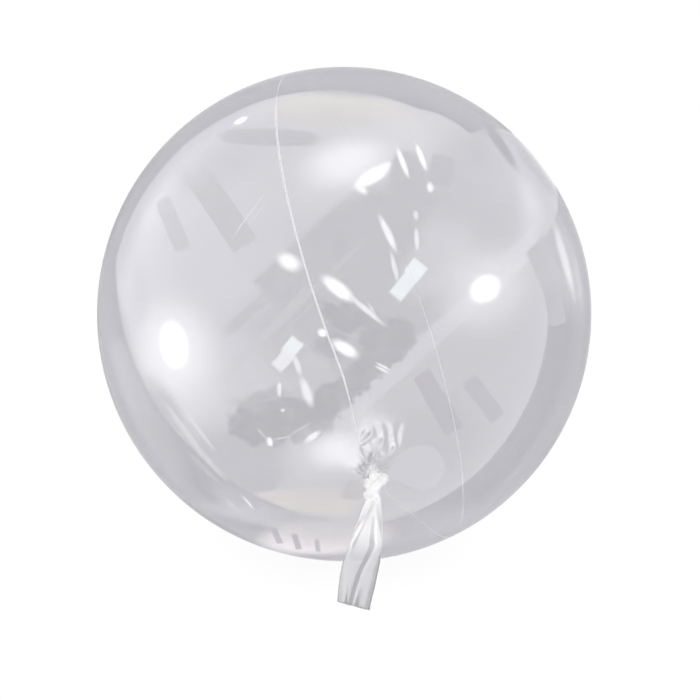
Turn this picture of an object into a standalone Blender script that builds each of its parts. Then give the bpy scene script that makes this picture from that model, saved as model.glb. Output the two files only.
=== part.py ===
"""A round party balloon of clear film, tied in its own neck and lying on a small flat spot.

Two round film sheets are welded together along one seam and blown up into a ball.
The neck is gathered in pleats, knotted, and ends in a flat tail that hangs from the knot.
Metres, +Z up. The origin is the middle of the flat spot that the balloon lies on,
and the neck points along -Y, a little downwards.
"""

from math import asin, cos, degrees, exp, hypot, pi, radians, sin, sqrt, tan

import bmesh
import bpy
from mathutils import Vector

# Ball
BALL_RADIUS = 0.225
FLAT_SPOT_RADIUS = 0.040

# Neck: how far below the level it points, and the gathered film round it
NECK_DROP = radians(13.2)
WAIST_ANGLE = radians(2.2)
PLEAT_ANGLE = radians(14.0)
PLEAT_COUNT = 12
PLEAT_DEPTH = 0.0030
FUNNEL_HEIGHT = 0.0034
FUNNEL_LENGTH = 0.009
WAIST_RADIUS = 0.0054
WAIST_HEIGHT = 0.0046

# Weld seam: a flat ring round the ball that bends into the neck
SEAM_TURN = radians(-11.1)
SEAM_RISE = radians(22.35)
SEAM_OFFSET = 0.031
SEAM_BEND_ANGLE = radians(26.0)
RIB_HALF_WIDTH = 0.0016
RIB_HEIGHT = 0.0008

# Knot
KNOT_STAND_OFF = 0.0155
KNOT_RADIUS = 0.0116
KNOT_BAND_HEIGHT = 0.0016
KNOT_GROOVE_DEPTH = 0.0011
KNOT_BAND_AXIS = Vector((0.55, -0.35, 0.76)).normalized()
KNOT_MOUTH_ANGLE = radians(30.0)
KNOT_EXIT_ANGLE = radians(143.0)

# Tail: a flat open tube of film, folded lengthwise and cut off at a slant
TAIL_LEAVES = Vector((-0.13, -0.30, -0.94)).normalized()
TAIL_HANGS = Vector((-0.11, 0.0, -1.0)).normalized()
TAIL_END = Vector((-0.0179, -0.2381, 0.0545))
TAIL_NECK_WIDTH = 0.0107
TAIL_WIDTH = 0.0314
TAIL_NECK_THICKNESS = 0.0100
TAIL_THICKNESS = 0.0026
TAIL_SPREAD = 0.60
TAIL_END_TAPER = 0.09
TAIL_FOLD_DEPTH = 0.0026
TAIL_CUT_SLANT = radians(14.0)

# Mesh: columns run from the neck to the far side, rings run round it
HALF_COLUMNS = 32
COLUMNS = 2 * HALF_COLUMNS
PLEAT_RINGS = 7
RINGS = 36
KNOT_RINGS = 10
TAIL_RINGS = 11

FILM_COLOUR = (0.86, 0.85, 0.90, 1.0)
FILM_ROUGHNESS = 0.06
FILM_IOR = 1.50

UP = Vector((0.0, 0.0, 1.0))
CENTRE = Vector((0.0, 0.0, sqrt(BALL_RADIUS**2 - FLAT_SPOT_RADIUS**2)))
NECK = Vector((0.0, -cos(NECK_DROP), -sin(NECK_DROP)))
KNOT_CENTRE = CENTRE + NECK * (BALL_RADIUS + KNOT_STAND_OFF)


def ramp(value, start, end):
    """0 before start, 1 after end, and a smooth rise between them."""
    t = min(1.0, max(0.0, (value - start) / (end - start)))
    return t * t * (3.0 - 2.0 * t)


def seam_frame():
    """The seam's side vector, its miss at the neck, and the neck's two cross directions."""
    free = Vector((cos(SEAM_RISE) * cos(SEAM_TURN), cos(SEAM_RISE) * sin(SEAM_TURN), sin(SEAM_RISE)))
    miss = SEAM_OFFSET / BALL_RADIUS - free.dot(NECK)
    through_neck = (free + NECK * (miss / 2.0)).normalized()
    lean = through_neck.dot(NECK)
    side = (through_neck - NECK * lean).normalized()
    along = NECK.cross(side)
    if along.z < 0.0:
        along = -along
    return free, miss, lean / sqrt(1.0 - lean**2), along, side


SEAM_SIDE, SEAM_MISS, SEAM_SLIDE, ALONG, SIDE = seam_frame()


def slid_ball_point(polar, azimuth, slide_x, slide_y):
    """A point of a unit ball whose first pole is +Z and whose second pole is slid off -Z.

    All columns still run along circles from pole to pole, so one pair of them
    can follow a ring that is not a great circle.
    """
    reach = 1.0 / tan(polar / 2.0)
    x = reach * cos(azimuth) + slide_x
    y = reach * sin(azimuth) + slide_y
    square = x * x + y * y
    return Vector((2.0 * x, 2.0 * y, square - 1.0)) / (square + 1.0)


def slide_towards(cosine_to_pole, across_x, across_y):
    """The slide that puts a unit ball's second pole at the given direction."""
    scale = 1.0 / (1.0 - cosine_to_pole)
    return across_x * scale, across_y * scale


def ring_polar(ring):
    """The polar angle of a ring: close together in the pleats, even after them."""
    if ring <= PLEAT_RINGS:
        return WAIST_ANGLE + (PLEAT_ANGLE - WAIST_ANGLE) * (ring - 1) / (PLEAT_RINGS - 1)
    return PLEAT_ANGLE + (pi - PLEAT_ANGLE) * (ring - PLEAT_RINGS) / (RINGS - PLEAT_RINGS)


def column_azimuth(column, polar):
    """The azimuth of a column. Two columns are the seam, and each has a close one on both sides."""
    half, place = divmod(column % COLUMNS, HALF_COLUMNS)
    step = pi / (HALF_COLUMNS - 2)
    flank = min(0.5 * step, asin(min(1.0, RIB_HALF_WIDTH / (BALL_RADIUS * max(sin(polar), 1e-6)))))
    if place == 0:
        angle = 0.0
    elif place == 1:
        angle = flank
    elif place == HALF_COLUMNS - 1:
        angle = pi - flank
    else:
        angle = step * (place - 1)
    return half * pi + angle


def pleat_shape(azimuth):
    """1 on the round top of a pleat and 0 in the sharp valley between two, of uneven depth."""
    lobe = abs(sin(PLEAT_COUNT * azimuth / 2.0))
    return 1.0 - (1.0 - lobe) * (0.72 + 0.28 * cos(2.0 * azimuth + 0.7) * cos(5.0 * azimuth))


def ball_vertex(column, polar):
    """A point of the blown-up ball, with its pleats, funnel and weld rib."""
    azimuth = column_azimuth(column, polar)
    point = slid_ball_point(polar, azimuth, 0.0, SEAM_SLIDE)
    direction = ALONG * point.x + SIDE * point.y + NECK * point.z
    bend = ramp(polar, WAIST_ANGLE, SEAM_BEND_ANGLE)
    direction += SEAM_SIDE * (SEAM_MISS * (1.0 + cos(polar)) / 2.0 * bend)
    direction.normalize()

    away = (polar - WAIST_ANGLE) * BALL_RADIUS
    radius = BALL_RADIUS + FUNNEL_HEIGHT * exp(-away / FUNNEL_LENGTH)
    if polar < PLEAT_ANGLE:
        depth = PLEAT_DEPTH * ((PLEAT_ANGLE - polar) / (PLEAT_ANGLE - WAIST_ANGLE)) ** 1.4
        radius -= depth * (1.0 - pleat_shape(azimuth))
    if column % HALF_COLUMNS == 0:
        radius += RIB_HEIGHT * ramp(polar, 0.5 * PLEAT_ANGLE, PLEAT_ANGLE)
    return CENTRE + direction * radius


def waist_vertex(column, radius, height):
    """A point of the gathered film between the ball and the knot."""
    azimuth = column_azimuth(column, WAIST_ANGLE)
    reach = radius * (0.86 + 0.14 * pleat_shape(azimuth))
    across = ALONG * (reach * cos(azimuth)) + SIDE * (reach * sin(azimuth))
    return CENTRE + NECK * (BALL_RADIUS + height) + across


def knot_slide():
    """The slide that brings the knot's second pole to where the tail leaves it."""
    return slide_towards(-TAIL_LEAVES.dot(NECK), TAIL_LEAVES.dot(ALONG), TAIL_LEAVES.dot(SIDE))


def knot_direction(azimuth, polar):
    """The direction from the knot's middle of a point on it. Its first pole faces the ball."""
    point = slid_ball_point(polar, azimuth, *knot_slide())
    return ALONG * point.x + SIDE * point.y - NECK * point.z


def knot_vertex(column, polar):
    """A point of the knot: a ball with the band of the loop round it and a groove on each side."""
    azimuth = column_azimuth(column, WAIST_ANGLE)
    direction = knot_direction(azimuth, polar)
    level = direction.dot(KNOT_BAND_AXIS)
    band = KNOT_BAND_HEIGHT * exp(-((level / 0.34) ** 2))
    grooves = KNOT_GROOVE_DEPTH * (exp(-(((level - 0.58) / 0.16) ** 2)) + exp(-(((level + 0.58) / 0.16) ** 2)))
    fade = ramp(polar, KNOT_MOUTH_ANGLE, 2.0 * KNOT_MOUTH_ANGLE)
    gather = 0.0005 * cos(PLEAT_COUNT * azimuth)
    return KNOT_CENTRE + direction * (KNOT_RADIUS + (band - grooves) * fade + gather)


def tail_spine(share):
    """The tail's middle line and its direction: out of the knot, then hanging down."""
    start = KNOT_CENTRE + TAIL_LEAVES * (KNOT_RADIUS * 0.93)
    reach = (TAIL_END - start).length
    first = start + TAIL_LEAVES * (reach * 0.30)
    last = TAIL_END - TAIL_HANGS * (reach * 0.35)
    rest = 1.0 - share
    place = start * rest**3 + first * (3 * rest**2 * share) + last * (3 * rest * share**2) + TAIL_END * share**3
    heading = (first - start) * (3 * rest**2) + (last - first) * (6 * rest * share) + (TAIL_END - last) * (3 * share**2)
    return place, heading.normalized()


def fold_shape(across):
    """The lengthwise folds of the tail: two valleys and a ridge, from edge to edge (-1 to 1)."""
    return cos(1.6 * pi * (across - 0.18))


def tail_vertex(column, share):
    """A point of the tail at a share of its length, gathered at the knot and flat below."""
    azimuth = column_azimuth(column, WAIST_ANGLE)
    place, heading = tail_spine(share)
    across = Vector((1.0, 0.0, 0.0))
    across = (across - heading * across.dot(heading)).normalized()
    through = heading.cross(across)

    outward = knot_direction(azimuth, KNOT_EXIT_ANGLE) - TAIL_LEAVES
    knot_across = Vector((1.0, 0.0, 0.0))
    knot_across = (knot_across - TAIL_LEAVES * knot_across.dot(TAIL_LEAVES)).normalized()
    a = outward.dot(knot_across)
    b = outward.dot(TAIL_LEAVES.cross(knot_across))
    a, b = a / hypot(a, b), b / hypot(a, b)

    spread = min(1.0, share / TAIL_SPREAD) ** 0.8
    taper = 1.0 - TAIL_END_TAPER * ramp(share, 0.75, 1.0)
    width = (TAIL_NECK_WIDTH + (TAIL_WIDTH - TAIL_NECK_WIDTH) * spread) * taper
    flatten = ramp(share, 0.0, 0.45)
    thickness = TAIL_NECK_THICKNESS + (TAIL_THICKNESS - TAIL_NECK_THICKNESS) * flatten
    fold = TAIL_FOLD_DEPTH * fold_shape(a) * ramp(share, 0.05, 0.5)
    slant = tan(TAIL_CUT_SLANT) * a * width / 2.0 * ramp(share, 0.5, 1.0)
    return place + across * (a * width / 2.0) + through * (b * thickness / 2.0 + fold) + heading * slant


def start_ball(mesh):
    """A UV sphere primitive, its vertices sorted into rings and columns, moved into the ball's shape."""
    bmesh.ops.create_uvsphere(mesh, u_segments=COLUMNS, v_segments=RINGS, radius=1.0)
    top_pole = max(mesh.verts, key=lambda v: v.co.z)
    far_pole = min(mesh.verts, key=lambda v: v.co.z)
    places = {}
    for vertex in mesh.verts:
        if vertex in (top_pole, far_pole):
            continue
        flat = Vector((vertex.co.x, vertex.co.y))
        turn = flat.angle_signed(Vector((1.0, 0.0))) % (2.0 * pi)
        column = round(turn / (2.0 * pi) * COLUMNS) % COLUMNS
        ring = round(vertex.co.angle(UP) / pi * RINGS)
        places[vertex] = (column, ring)
    for vertex, (column, ring) in places.items():
        vertex.co = ball_vertex(column, ring_polar(ring))
    far_pole.co = ball_vertex(1, pi - 1e-4)
    bmesh.ops.delete(mesh, geom=[top_pole], context="VERTS")
    return {vertex: column for vertex, (column, ring) in places.items() if ring == 1}


def next_ring(mesh, ring, place):
    """Extrudes the open ring and puts each new vertex where place says for its column."""
    edges = {edge for vertex in ring for edge in vertex.link_edges if edge.is_boundary}
    made = bmesh.ops.extrude_edge_only(mesh, edges=list(edges))
    fresh = {v for v in made["geom"] if isinstance(v, bmesh.types.BMVert)}
    new_ring = {}
    for old, column in ring.items():
        twin = next(e.other_vert(old) for e in old.link_edges if e.other_vert(old) in fresh)
        new_ring[twin] = column
    for vertex, column in new_ring.items():
        vertex.co = place(column)
    return new_ring


def grow_neck(mesh, ring):
    """Ring by ring from the ball: the waist, the knot and the tail, closed with its cut end."""
    ring = next_ring(mesh, ring, lambda column: waist_vertex(column, WAIST_RADIUS, WAIST_HEIGHT))
    for step in range(KNOT_RINGS + 1):
        polar = KNOT_MOUTH_ANGLE + (KNOT_EXIT_ANGLE - KNOT_MOUTH_ANGLE) * step / KNOT_RINGS
        ring = next_ring(mesh, ring, lambda column, p=polar: knot_vertex(column, p))
    for step in range(1, TAIL_RINGS + 1):
        ring = next_ring(mesh, ring, lambda column, s=step / TAIL_RINGS: tail_vertex(column, s))
    end = {edge for vertex in ring for edge in vertex.link_edges if edge.is_boundary}
    bmesh.ops.contextual_create(mesh, geom=list(end))


def cut_flat_spot(mesh):
    """Cuts the ball off level at z = 0 and closes it with one flat face."""
    geometry = mesh.verts[:] + mesh.edges[:] + mesh.faces[:]
    bmesh.ops.bisect_plane(mesh, geom=geometry, plane_co=(0, 0, 0), plane_no=(0, 0, -1), clear_outer=True)
    rim = [edge for edge in mesh.edges if edge.is_boundary]
    bmesh.ops.contextual_create(mesh, geom=rim)


def film_material():
    """Clear plastic film."""
    material = bpy.data.materials.new("clear_film")
    material.use_nodes = True
    shader = material.node_tree.nodes["Principled BSDF"]
    shader.inputs["Base Color"].default_value = FILM_COLOUR
    shader.inputs["Roughness"].default_value = FILM_ROUGHNESS
    shader.inputs["Metallic"].default_value = 0.0
    shader.inputs["IOR"].default_value = FILM_IOR
    shader.inputs["Transmission Weight"].default_value = 1.0
    return material


def make_balloon(collection):
    """The whole balloon as one closed solid."""
    mesh = bmesh.new()
    ring = start_ball(mesh)
    grow_neck(mesh, ring)
    cut_flat_spot(mesh)
    bmesh.ops.recalc_face_normals(mesh, faces=mesh.faces[:])
    data = bpy.data.meshes.new("balloon")
    mesh.to_mesh(data)
    mesh.free()
    data.shade_smooth()
    data.set_sharp_from_angle(angle=radians(50.0))
    balloon = bpy.data.objects.new("balloon", data)
    balloon.data.materials.append(film_material())
    collection.objects.link(balloon)
    return balloon


def clear_scene():
    """Removes what a new Blender file holds."""
    for item in list(bpy.data.objects):
        bpy.data.objects.remove(item, do_unlink=True)


def main():
    clear_scene()
    collection = bpy.data.collections.new("Round balloon")
    bpy.context.scene.collection.children.link(collection)
    balloon = make_balloon(collection)
    print(balloon.name, "neck drop", round(degrees(NECK_DROP), 1), "degrees")


main()
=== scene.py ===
"""Round clear film balloon: the blown-up ball, its weld, knot and tail, and a soft white studio.

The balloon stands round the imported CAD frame, in metres and +Z up. It lies on a small flat spot,
and its neck points along -Y, a little downwards.
"""

from collections import namedtuple
from math import asin, atan, cos, pi, radians, sin, sqrt, tan

import bmesh
import bpy
import numpy as np
from bpy.props import FloatProperty, FloatVectorProperty, IntProperty, PointerProperty
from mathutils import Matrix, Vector


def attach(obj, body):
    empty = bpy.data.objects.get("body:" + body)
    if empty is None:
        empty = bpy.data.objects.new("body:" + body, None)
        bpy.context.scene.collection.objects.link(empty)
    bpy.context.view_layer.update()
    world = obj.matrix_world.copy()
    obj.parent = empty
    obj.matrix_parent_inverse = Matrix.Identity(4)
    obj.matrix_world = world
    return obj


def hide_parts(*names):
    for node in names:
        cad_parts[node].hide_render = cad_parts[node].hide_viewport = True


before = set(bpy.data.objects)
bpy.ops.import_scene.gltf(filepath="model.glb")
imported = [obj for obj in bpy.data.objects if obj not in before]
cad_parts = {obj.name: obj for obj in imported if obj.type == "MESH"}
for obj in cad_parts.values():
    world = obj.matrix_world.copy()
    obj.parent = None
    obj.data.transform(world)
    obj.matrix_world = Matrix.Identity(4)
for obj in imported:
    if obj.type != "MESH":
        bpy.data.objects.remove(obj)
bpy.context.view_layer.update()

bl_info = {
    "name": "Round film balloon",
    "version": (1, 0, 0),
    "blender": (4, 5, 0),
    "location": "3D View > Sidebar > Balloon",
    "description": "Builds a round balloon of clear film with a weld, a knot and a flat tail",
    "category": "Add Mesh",
}

BODY = "root"
NODE = "balloon"
FOLD_ATTRIBUTE = "fold"

# Fixed directions of the frame
WORLD_X = np.array([1.0, 0.0, 0.0])
WORLD_Z = np.array([0.0, 0.0, 1.0])
TAIL_LEAVES = np.array([-0.13, -0.30, -0.94]) / np.linalg.norm([-0.13, -0.30, -0.94])
TAIL_HANGS = np.array([-0.11, 0.0, -1.0]) / np.linalg.norm([-0.11, 0.0, -1.0])

# How near the mesh comes to the ball's far pole, as an angle
POLE_GAP = 1e-4
# Vertices closer than this are merged
MERGE_DISTANCE = 1e-6

# The strand's way through the overhand knot, in millimetres from the knot's middle:
# out of the ball, down behind, forward and up in front, round the back, and down in front
KNOT_ROUTE_MM = (
    (0.0, 15.4, 3.6), (0.0, 11.3, 3.2), (0.0, 7.2, 3.0), (0.4, 3.7, 1.7),
    (1.6, 2.3, -1.8), (0.8, 2.0, -5.7), (-1.8, 0.1, -8.1), (-4.3, -3.0, -8.2),
    (-5.2, -6.3, -6.1), (-4.1, -8.4, -2.8), (-1.7, -8.3, 0.4), (1.2, -6.0, 2.1),
    (3.9, -3.0, 2.8), (6.1, 0.4, 3.0), (6.7, 4.3, 2.1), (4.9, 7.3, 0.1),
    (1.4, 8.3, -1.7), (-2.2, 6.9, -2.5), (-4.2, 3.4, -2.6), (-3.5, -0.6, -2.4),
    (-0.9, -3.4, -3.4), (-1.2, -5.8, -6.5), (-1.6, -7.7, -9.9),
)
KNOT_SCALE = 1.12
MILLIMETRE = 0.001

# The photograph's camera, as seen from the ball's middle
VIEW_AZIMUTH = radians(-6.17)
VIEW_ELEVATION = radians(22.0)
VIEW_DISTANCE = 1.8
BALL_RADIUS = 0.225
IMAGE_SIZE = 700
BALL_IN_IMAGE = (344.2, 314.0)
BALL_RADIUS_IN_IMAGE = 247.3
SENSOR_WIDTH = 36.0

# Tints of the mirrored studio
WHITE = (1.0, 1.0, 1.0)
LILAC = (0.98, 0.975, 1.02)
WARM = (1.03, 1.0, 0.86)
ROSE = (1.05, 0.98, 0.98)
COOL = (0.94, 1.03, 1.01)
AMBER = (1.08, 0.99, 0.87)


class BallSizes(bpy.types.PropertyGroup):
    radius: FloatProperty(
        name="Radius", description="Radius of the blown-up ball",
        default=BALL_RADIUS, min=0.05, unit="LENGTH")
    flat_spot_radius: FloatProperty(
        name="Flat spot", description="Radius of the spot that the balloon lies on",
        default=0.040, unit="LENGTH")
    wall: FloatProperty(
        name="Film", description="Thickness of the film as it is shown",
        default=0.00025, unit="LENGTH")
    pleat_depth: FloatProperty(
        name="Pleat depth", description="Depth of the pleats beside the neck",
        default=0.0017, unit="LENGTH")
    pleat_count: IntProperty(
        name="Pleats", description="How many pleats gather the film at the neck", default=12, min=3)
    pleat_reach: FloatProperty(
        name="Pleat reach", description="How far from the neck the short pleats run out",
        default=radians(5.4), subtype="ANGLE")
    column_width: FloatProperty(
        name="Column width", description="Width of the folded band above the knot",
        default=0.033, unit="LENGTH")
    column_height: FloatProperty(
        name="Column height", description="Height of the folded band above the knot",
        default=0.050, unit="LENGTH")
    columns: IntProperty(
        name="Columns", description="Mesh columns from the neck to the far side",
        default=240, min=24)
    rings: IntProperty(
        name="Rings", description="Mesh rings between the neck and the far side",
        default=150, min=24)


class NeckSizes(bpy.types.PropertyGroup):
    drop: FloatProperty(
        name="Drop", description="How far below the level the neck points",
        default=radians(13.2), subtype="ANGLE")
    waist_angle: FloatProperty(
        name="Waist angle", description="Where the funnel of the neck begins on the ball",
        default=radians(2.2), subtype="ANGLE")
    funnel_height: FloatProperty(
        name="Funnel height", description="How far the gathered film stands off the ball",
        default=0.0034, unit="LENGTH")
    funnel_length: FloatProperty(
        name="Funnel length", description="How far the funnel spreads over the ball",
        default=0.0065, unit="LENGTH")
    knot_stand_off: FloatProperty(
        name="Knot stand-off", description="From the ball's surface to the middle of the knot",
        default=0.0155, unit="LENGTH")
    strand_radius: FloatProperty(
        name="Strand", description="Radius of the bunched film in the knot",
        default=0.0041, unit="LENGTH")


class SeamSizes(bpy.types.PropertyGroup):
    turn: FloatProperty(
        name="Turn", description="Compass turn of the seam ring's side",
        default=radians(-11.1), subtype="ANGLE")
    rise: FloatProperty(
        name="Rise", description="How far the seam ring's side points up",
        default=radians(22.35), subtype="ANGLE")
    offset: FloatProperty(
        name="Offset", description="How far the seam ring lies from the ball's middle",
        default=0.031, unit="LENGTH")
    bend_angle: FloatProperty(
        name="Bend", description="Where the seam starts to bend into the neck",
        default=radians(26.0), subtype="ANGLE")
    half_width: FloatProperty(
        name="Half width", description="Half of the weld's width", default=0.00085, unit="LENGTH")
    height: FloatProperty(
        name="Height", description="Half of the weld's thickness", default=0.00022, unit="LENGTH")


class TailSizes(bpy.types.PropertyGroup):
    end: FloatVectorProperty(
        name="End", description="Middle of the tail's cut end",
        default=(-0.0179, -0.2381, 0.0545), subtype="TRANSLATION", unit="LENGTH")
    neck_width: FloatProperty(
        name="Width at the knot", description="Width of the tail where it leaves the knot",
        default=0.0098, unit="LENGTH")
    width: FloatProperty(
        name="Width", description="Width of the flat tail", default=0.0314, unit="LENGTH")
    neck_thickness: FloatProperty(
        name="Thickness at the knot", description="Thickness of the gathered tail",
        default=0.0096, unit="LENGTH")
    thickness: FloatProperty(
        name="Thickness", description="Thickness of the pressed tail", default=0.0016,
        unit="LENGTH")
    wall: FloatProperty(
        name="Film", description="Thickness of the tail's film as it is shown",
        default=0.00018, unit="LENGTH")
    cut_slant: FloatProperty(
        name="Cut slant", description="How far the cut end is off square",
        default=radians(14.0), subtype="ANGLE")
    fold_depth: FloatProperty(
        name="Fold depth", description="Height of the lengthwise folds", default=0.0008,
        unit="LENGTH")


class FinishColours(bpy.types.PropertyGroup):
    film: FloatVectorProperty(
        name="Film", description="Tint of the clear film",
        default=(0.733, 0.728, 0.749), subtype="COLOR", min=0.0, max=1.0)
    weld: FloatVectorProperty(
        name="Weld", description="Colour of the frosty weld",
        default=(0.96, 0.96, 0.98), subtype="COLOR", min=0.0, max=1.0)
    knot: FloatVectorProperty(
        name="Knot", description="Colour of the bunched film",
        default=(1.0, 0.995, 0.995), subtype="COLOR", min=0.0, max=1.0)
    tail: FloatVectorProperty(
        name="Tail", description="Tint of the flat film of the tail",
        default=(0.70, 0.695, 0.715), subtype="COLOR", min=0.0, max=1.0)
    floor: FloatVectorProperty(
        name="Floor", description="Colour of the floor",
        default=(0.97, 0.97, 0.97), subtype="COLOR", min=0.0, max=1.0)


def unit(vector):
    return vector / np.linalg.norm(vector)


def unit_rows(vectors):
    return vectors / np.linalg.norm(vectors, axis=-1, keepdims=True)


def ramp(value, start, end):
    """0 before start, 1 after end, and a smooth rise between them, for numbers and arrays."""
    t = np.clip((value - start) / (end - start), 0.0, 1.0)
    return t * t * (3.0 - 2.0 * t)


def soft_ridge(across, middle, width):
    """1 on a fold's crest, falling smoothly to 0 at its width."""
    return 1.0 - ramp(np.abs((across - middle) / width), 0.0, 1.0)


def neck_direction(neck):
    return np.array([0.0, -cos(neck.drop), -sin(neck.drop)])


def ball_centre(ball):
    return np.array([0.0, 0.0, sqrt(ball.radius**2 - ball.flat_spot_radius**2)])


def knot_centre(ball, neck):
    return ball_centre(ball) + neck_direction(neck) * (ball.radius + neck.knot_stand_off)


def seam_frame(ball, neck, seam):
    """The seam's side vector, its miss at the neck, its slide and the neck's cross directions."""
    out = neck_direction(neck)
    free = np.array([
        cos(seam.rise) * cos(seam.turn),
        cos(seam.rise) * sin(seam.turn),
        sin(seam.rise),
    ])
    miss = seam.offset / ball.radius - free @ out
    through_neck = unit(free + out * (miss / 2.0))
    lean = through_neck @ out
    side = unit(through_neck - out * lean)
    along = np.cross(out, side)
    if along[2] < 0.0:
        along = -along
    return free, miss, lean / sqrt(1.0 - lean**2), along, side


def ball_direction(polar, azimuth, ball, neck, seam):
    """Directions from the ball's middle. Columns run in circles from the neck to the far side."""
    free, miss, slide, along, side = seam_frame(ball, neck, seam)
    reach = 1.0 / np.tan(polar / 2.0)
    x = reach * np.cos(azimuth)
    y = reach * np.sin(azimuth) + slide
    square = x * x + y * y
    point = np.stack([2.0 * x, 2.0 * y, square - 1.0], -1) / (square + 1.0)[..., None]
    direction = point @ np.stack([along, side, neck_direction(neck)])
    bend = ramp(polar, neck.waist_angle, seam.bend_angle) * (1.0 + np.cos(polar)) / 2.0
    return unit_rows(direction + (miss * bend)[..., None] * free)


def pleat_shape(azimuth, count):
    """1 on the round top of a pleat and 0 in the sharp valley between two, of uneven depth."""
    lobe = np.abs(np.sin(count * azimuth / 2.0))
    depth = 0.72 + 0.28 * np.cos(2.0 * azimuth + 0.7) * np.cos(5.0 * azimuth)
    return 1.0 - (1.0 - lobe) * depth


def gathered_column(polar, azimuth, ball, neck, seam):
    """Height of the lengthwise folds in the band of film that rises straight above the knot."""
    along, side = seam_frame(ball, neck, seam)[-2:]
    out = neck_direction(neck)
    up = unit(WORLD_Z - out * out[2])
    tangent = np.cos(azimuth)[..., None] * along + np.sin(azimuth)[..., None] * side
    rise = polar * ball.radius * (tangent @ up)
    lateral = polar * ball.radius * tangent[..., 0]
    # Narrow at the knot, and leaning a little to the right as it rises
    spread = 0.35 + 0.65 * ramp(rise, 0.006, 0.024)
    place = (lateral - 0.10 * rise) / (ball.column_width / 2.0 * spread)
    # Faded out at both sides, at the knot and at the top
    cover = (1.0 - ramp(np.abs(place), 0.80, 1.12)) * ramp(rise, 0.002, 0.010)
    cover = cover * (1.0 - ramp(rise, 0.55 * ball.column_height, ball.column_height))
    # Sharp-crested folds that wander, with fine crumples over them
    wander = 0.25 * np.sin(place * 2.0 + rise * 160.0)
    folds = 1.0 - np.sqrt(np.sin((place + wander) * 4.2) ** 2 + 0.01)
    fine = np.sin(rise * 520.0 + 3.0 * place) * np.sin(7.0 * place + 1.0)
    return cover * ball.pleat_depth * spread * (0.55 * folds - 0.45 + 0.12 * fine)


def ball_height(polar, azimuth, ball, neck, seam):
    """How far the film stands from the ball's middle, with the funnel and pleats at the neck."""
    away = (polar - neck.waist_angle) * ball.radius
    height = ball.radius + neck.funnel_height * np.exp(-away / neck.funnel_length)
    left = (ball.pleat_reach - polar) / (ball.pleat_reach - neck.waist_angle)
    short = ball.pleat_depth * 0.6 * np.clip(left, 0.0, 1.0)**2
    height = height - short * (1.0 - pleat_shape(azimuth, ball.pleat_count))
    return height + gathered_column(polar, azimuth, ball, neck, seam)


def deselect_all():
    if bpy.context.object and bpy.context.object.mode != "OBJECT":
        bpy.ops.object.mode_set(mode="OBJECT")
    bpy.ops.object.select_all(action="DESELECT")


def vertex_array(mesh):
    flat = np.empty(len(mesh.vertices) * 3)
    mesh.vertices.foreach_get("co", flat)
    return flat.reshape(-1, 3)


def move_vertices(mesh, places):
    mesh.vertices.foreach_set("co", np.ascontiguousarray(places, dtype=np.float64).ravel())
    mesh.update()


def name_piece(name, finish):
    """Names the active object and its mesh as a piece and gives it its one material."""
    piece = bpy.context.active_object
    piece.name = name
    piece.data.name = name
    piece.data.materials.clear()
    piece.data.materials.append(finish)
    return piece


def finish_piece(piece):
    """Smooths the piece, rides it on the body and lets it stand for the CAD node."""
    bpy.ops.object.shade_smooth()
    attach(piece, BODY)
    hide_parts(NODE)
    # Clear film throws next to no shadow
    piece.visible_shadow = False
    piece.visible_diffuse = False


def give_wall(piece, thickness):
    """Gives an open or closed skin its wall, inwards, and applies it."""
    wall = piece.modifiers.new("film wall", "SOLIDIFY")
    wall.thickness = thickness
    wall.offset = -1.0
    bpy.ops.object.modifier_apply(modifier=wall.name)


def tidy_skin():
    """In edit mode: merges doubled vertices and turns all faces outwards."""
    bpy.ops.mesh.select_all(action="SELECT")
    bpy.ops.mesh.remove_doubles(threshold=MERGE_DISTANCE)
    bpy.ops.mesh.normals_make_consistent(inside=False)


def close_ends(piece):
    """In edit mode: closes each open end of a tube with one face, all faces outwards."""
    bpy.ops.mesh.select_all(action="DESELECT")
    mesh = bmesh.from_edit_mesh(piece.data)
    for edge in mesh.edges:
        edge.select = edge.is_boundary
    bmesh.update_edit_mesh(piece.data)
    bpy.ops.mesh.edge_face_add()
    bpy.ops.mesh.select_all(action="SELECT")
    bpy.ops.mesh.normals_make_consistent(inside=False)


def add_flat_grid(profile, rings):
    """Adds a grid to be rolled up. Returns each vertex's turn round the tube and share along it."""
    deselect_all()
    bpy.ops.mesh.primitive_grid_add(x_subdivisions=profile, y_subdivisions=rings, size=2.0)
    start = vertex_array(bpy.context.active_object.data)
    return (start[:, 0] + 1.0) * pi, (start[:, 1] + 1.0) / 2.0


def join_tube(piece, closed):
    """Merges the rolled-up grid along its length, and closes its two ends if asked."""
    bpy.ops.object.mode_set(mode="EDIT")
    tidy_skin()
    if closed:
        close_ends(piece)
    bpy.ops.object.mode_set(mode="OBJECT")


def smooth_route(points, count, steps=24):
    """Catmull-Rom points, evenly spaced, along a route, and how far along it each one lies."""
    points = np.asarray(points, dtype=float)
    padded = np.vstack([2 * points[0] - points[1], points, 2 * points[-1] - points[-2]])
    t = np.linspace(0.0, 1.0, steps, endpoint=False)[:, None]
    pieces = []
    for i in range(1, len(padded) - 2):
        a, b, c, d = padded[i - 1:i + 3]
        pieces.append(0.5 * (2 * b + (c - a) * t + (2 * a - 5 * b + 4 * c - d) * t**2
                             + (3 * b - a - 3 * c + d) * t**3))
    fine = np.vstack(pieces + [points[-1:]])
    steps_taken = np.linalg.norm(np.diff(fine, axis=0), axis=1)
    length = np.concatenate([[0.0], np.cumsum(steps_taken)])
    even = np.linspace(0.0, length[-1], count)
    return np.stack([np.interp(even, length, fine[:, k]) for k in range(3)], 1), even


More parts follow.
